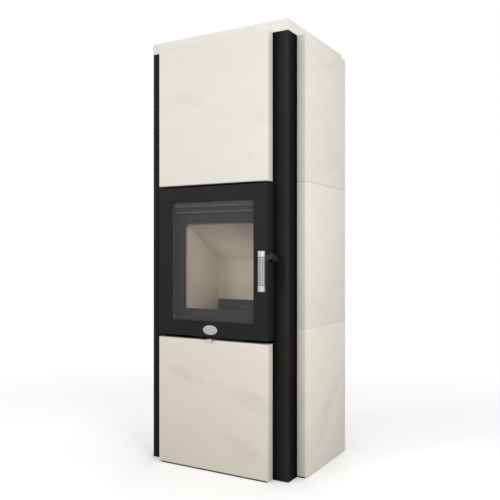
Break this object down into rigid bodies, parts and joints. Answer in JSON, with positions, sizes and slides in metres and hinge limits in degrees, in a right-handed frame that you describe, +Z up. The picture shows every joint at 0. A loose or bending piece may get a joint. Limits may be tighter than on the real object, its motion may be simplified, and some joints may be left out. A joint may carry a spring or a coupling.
{
  "type": "tiled wood stove",
  "caption": "Tall floor-standing wood stove with a black steel casing, cream ceramic cladding, a glazed hinged firebox door, a lever handle and a sliding air control.",
  "frame": {"origin": "centre of the bounding box's footprint, on the floor", "axes": "+Z up, the glazed door faces -Y, +X to the right of someone who faces the door"},
  "size_m": [0.6586, 0.5892, 1.6],
  "materials": {
    "ceramic": "satin cream glaze, faintly mottled",
    "black_sheet": "fine-textured black powder coat",
    "cast_iron": "matt dark paint",
    "box_steel": "matt heat-resistant grey",
    "firebrick": "matt pressed firebrick",
    "storage_stone": "cast refractory concrete",
    "rope_seal": "woven glass-fibre rope",
    "stainless": "satin stainless steel",
    "zinc_steel": "zinc-plated",
    "glass": "clear fire-resistant glass with a faint brown tint"
  },
  "bodies": {
    "stove_body": {"side_slab_left_lower": "ceramic", "side_slab_left_middle": "ceramic", "side_slab_left_upper": "ceramic", "side_slab_right_lower": "ceramic", "side_slab_right_middle": "ceramic", "side_slab_right_upper": "ceramic", "lower_tile": "ceramic", "upper_tile": "ceramic", "top_plate": "ceramic", "base_plate": "black_sheet", "corner_post_left": "black_sheet", "corner_post_right": "black_sheet", "side_panel_left": "black_sheet", "side_panel_right": "black_sheet", "lower_front_panel": "black_sheet", "upper_front_panel": "black_sheet", "rear_casing": "black_sheet", "upper_tile_ledge": "black_sheet", "hinge_lug_upper": "black_sheet", "hinge_lug_lower": "black_sheet", "air_inlet_pipe": "black_sheet", "flue_elbow": "black_sheet", "firebox_frame": "cast_iron", "grate_bed": "cast_iron", "grate": "cast_iron", "firebox_floor": "box_steel", "firebox_roof": "box_steel", "firebox_wall_left": "box_steel", "firebox_wall_right": "box_steel", "firebox_wall_rear": "box_steel", "ash_pan": "box_steel", "air_wash_strip": "box_steel", "firebox_stand": "box_steel", "slide_guide": "box_steel", "storage_shelf": "box_steel", "lining_left": "firebrick", "lining_right": "firebrick", "lining_rear": "firebrick", "baffle": "firebrick", "storage_block_lower": "storage_stone", "storage_block_upper": "storage_stone", "levelling_screw_front_left": "zinc_steel", "levelling_screw_front_right": "zinc_steel", "levelling_screw_rear_left": "zinc_steel", "levelling_screw_rear_right": "zinc_steel", "latch_keeper": "zinc_steel"},
    "door": {"door_frame": "cast_iron", "door_glass": "glass", "door_back_frame": "box_steel", "door_seal": "rope_seal", "hinge_pin_upper": "zinc_steel", "hinge_pin_lower": "zinc_steel"},
    "lever": {"latch_shaft": "zinc_steel", "handle_lever": "black_sheet", "grip_sleeve": "stainless", "grip_cap_upper": "stainless", "grip_cap_lower": "stainless"},
    "air_control": {"air_slide": "stainless"}
  },
  "joints": [
    {"name": "door_hinge", "type": "hinge", "parent": "stove_body", "child": "door", "pos_m": [-0.226, -0.2264, 0.76], "axis": [0, 0, -1], "range_deg": [0, 110]},
    {"name": "lever_pivot", "type": "hinge", "parent": "door", "child": "lever", "pos_m": [0.23, -0.2294, 0.7713], "axis": [-1, 0, 0], "range_deg": [0, 28]},
    {"name": "air_slide", "type": "slide", "parent": "stove_body", "child": "air_control", "axis": [1, 0, 0], "range_m": [-0.04, 0.04]}
  ]
}
